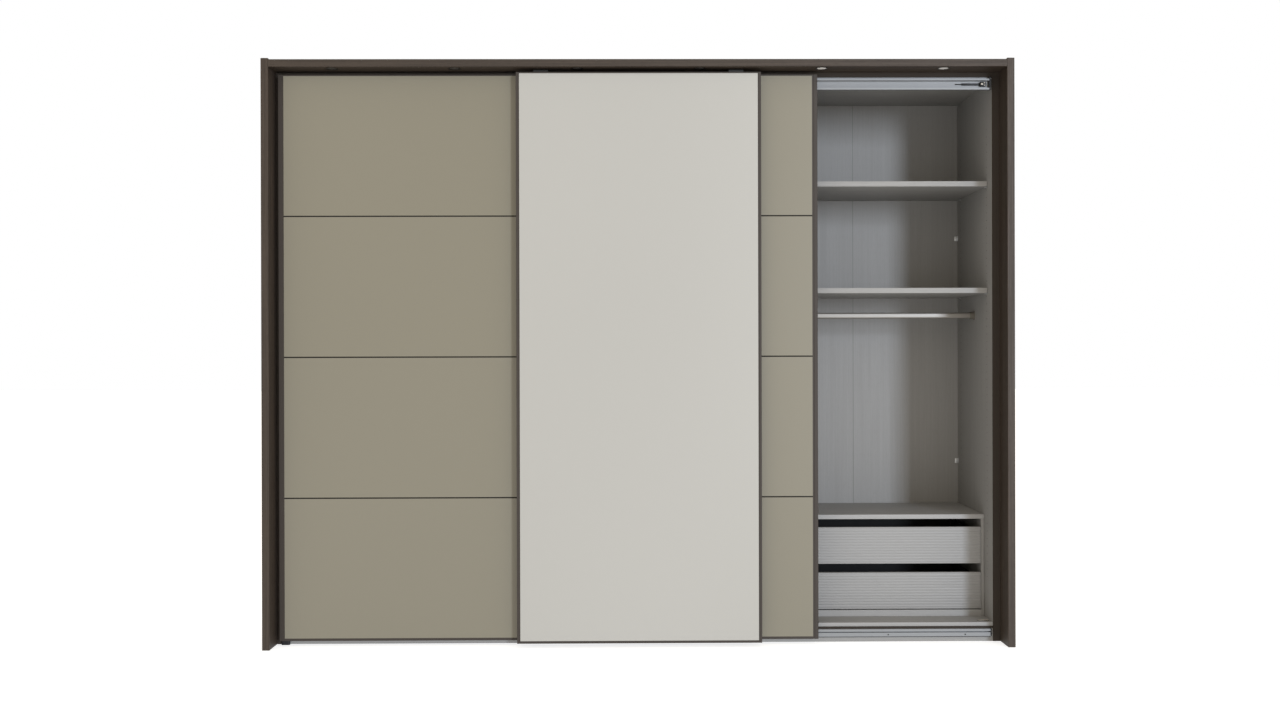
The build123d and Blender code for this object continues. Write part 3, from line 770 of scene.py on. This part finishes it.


# ---- dark strip under the guide rail (painted shadow), and the screws

# size of the dark strip that paints the shadow under the rail
shadowLine = {"setback": 0.6, "deep": 5.0, "tall": 2.8, "edge": 0.3}
railScrews = {"pitch": 320.0, "first": 105.0, "height": 32.5, "radius": 3.0, "rise": 0.8}
bracketScrew = {"out": 4.0, "radius": 2.4, "rise": 0.8}
plates = {
    "hangers": {"reach": 20.0, "rows": (15.0, 45.0), "fromTop": False, "radius": 3.4},
    "guides": {"reach": 16.0, "rows": (11.0,), "fromTop": True, "radius": 3.0},
}
plate = {"least": 20.0, "sheet": 2.5, "screwRise": 1.0}


def railShadowLine():
    # dark strip under the front edge of the guide rail: a painted shadow of the rail's lip
    low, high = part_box("bottom_rail")
    shape = bmesh.new()
    front, back = low.y + shadowLine["setback"] * mm, low.y + (shadowLine["setback"] + shadowLine["deep"]) * mm
    addBlock(shape, (low.x, front, low.z - shadowLine["tall"] * mm), (high.x, back, low.z),
             shadowLine["edge"] * mm)
    addPiece("bottom_rail_shadow_line", shape, "carcass", "black_plastic")


def screwRows():
    low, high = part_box("bottom_rail")
    pitch = railScrews["pitch"] * mm
    start = high.x - railScrews["first"] * mm
    shape = bmesh.new()
    for i in range(int((high.x - low.x) / pitch)):
        spot = (start - i * pitch, low.y, railScrews["height"] * mm)
        addScrew(shape, spot, (0, -1, 0), railScrews["radius"] * mm, railScrews["rise"] * mm)
    addPiece("bottom_rail_screws", shape, "carcass", "black_steel")


def bracketScrews():
    shape = bmesh.new()
    out = bracketScrew["out"] * mm
    for low, high in solidBoxes("clothes_rail_brackets"):
        wall, inward = wallSide(low, high)
        for z in (low.z + 4 * mm, high.z - 4 * mm):
            spot = (wall + inward * out, (low.y + high.y) / 2, z)
            addScrew(shape, spot, (inward, 0, 0), bracketScrew["radius"] * mm, bracketScrew["rise"] * mm)
    addPiece("bracket_screws", shape, "carcass", "zinc_steel")


def plateScrews(door, fitting):
    # screws on the back of the plates that carry a door's wheels or guide it below
    facts = plates[fitting]
    shape = bmesh.new()
    for low, high in solidBoxes(door + "_" + fitting):
        if high.z - low.z < plate["least"] * mm:
            continue
        for shift in (-facts["reach"] * mm, facts["reach"] * mm):
            for row in facts["rows"]:
                z = high.z - row * mm if facts["fromTop"] else low.z + row * mm
                spot = ((low.x + high.x) / 2 + shift, low.y + plate["sheet"] * mm, z)
                addScrew(shape, spot, (0, 1, 0), facts["radius"] * mm, plate["screwRise"] * mm)
    addPiece(door + "_" + fitting + "_screws", shape, door, "zinc_steel")


screwRows()
railShadowLine()
bracketScrews()
for door in doorNames:
    for fitting in plates:
        plateScrews(door, fitting)
print("stage: screws")


# ---- stage, lights and camera

studio = {
    "background": (1, 1, 1, 1), "roomLight": (0.98, 0.90, 0.78, 1),
    "floorSize": 40.0, "floorShade": 0.5, "floorGlow": 0.75,
    "keyBearing": 25.5, "keyHeight": 6.5, "keyDistance": 28.0, "keyWide": 3.6, "keyTall": 8.0,
    "keyPower": 4350.0, "keyColour": (0.88, 0.975, 1.12), "keyTarget": (0.6, 1.2),
}


def keyLight():
    # one wide, distant window of light, aimed at the open bay; its bearing is from straight ahead
    lamp = bpy.data.lights.new("key", "AREA")
    lamp.shape = "RECTANGLE"
    lamp.size = studio["keyWide"]
    lamp.size_y = studio["keyTall"]
    lamp.energy = studio["keyPower"]
    lamp.color = studio["keyColour"]
    holder = bpy.data.objects.new("key", lamp)
    bpy.context.scene.collection.objects.link(holder)
    across, up = studio["keyTarget"]
    target = Vector((across, cadLow.y, up))
    turn, lift = math.radians(studio["keyBearing"]), math.radians(studio["keyHeight"])
    away = Vector((math.sin(turn) * math.cos(lift), -math.cos(turn) * math.cos(lift), math.sin(lift)))
    holder.location = target + away * studio["keyDistance"]
    holder.rotation_euler = (-away).to_track_quat("-Z", "Y").to_euler()


def makeStage():
    shape = bmesh.new()
    bmesh.ops.create_grid(shape, x_segments=1, y_segments=1, size=studio["floorSize"])
    mesh = bpy.data.meshes.new("floor")
    shape.to_mesh(mesh)
    shape.free()
    floor = bpy.data.objects.new("floor", mesh)
    bpy.context.scene.collection.objects.link(floor)
    graph = Graph("paleFloor")
    bright = studio["floorShade"]
    cloud = graph.noise((3, 3, 3), detail=2)
    tone = graph.mix(cloud, shade(bright, bright, bright, 0.99), shade(bright, bright, bright))
    mesh.materials.append(graph.finish(
        Base_Color=tone, Roughness=0.9, Emission_Color=(1, 1, 1, 1),
        Emission_Strength=studio["floorGlow"],
    ))

    # the backdrop is white to the camera and warmer to everything else
    world = bpy.data.worlds.new("studio")
    world.use_nodes = True
    nodes, links = world.node_tree.nodes, world.node_tree.links
    rays = nodes.new("ShaderNodeLightPath")
    choice = nodes.new("ShaderNodeMix")
    choice.data_type = "RGBA"
    choice.inputs[6].default_value = studio["roomLight"]
    choice.inputs[7].default_value = studio["background"]
    links.new(rays.outputs["Is Camera Ray"], choice.inputs["Factor"])
    links.new(choice.outputs[2], nodes["Background"].inputs["Color"])
    bpy.context.scene.world = world


view = {
    "across": -0.021, "back": 5.124, "up": 1.186,
    "yaw": 0.00844, "pitch": -0.00113, "roll": -0.00247,
    "lens": 35.51, "shiftX": -0.0036, "shiftY": -0.0013,
}


def makeCamera():
    data = bpy.data.cameras.new("camera")
    data.lens = view["lens"]
    data.sensor_width = 36
    data.shift_x = view["shiftX"]
    data.shift_y = view["shiftY"]
    camera = bpy.data.objects.new("camera", data)
    bpy.context.scene.collection.objects.link(camera)
    turned = Matrix.Rotation(-view["yaw"], 4, "Z")
    turned = turned @ Matrix.Rotation(math.pi / 2 + view["pitch"], 4, "X")
    turned = turned @ Matrix.Rotation(view["roll"], 4, "Z")
    place = Vector((view["across"], cadLow.y - view["back"], view["up"]))
    camera.matrix_world = Matrix.Translation(place) @ turned
    bpy.context.scene.camera = camera


makeStage()
keyLight()
makeCamera()
bpy.context.scene.view_settings.view_transform = "Standard"
print("stage: floor, lights and camera")
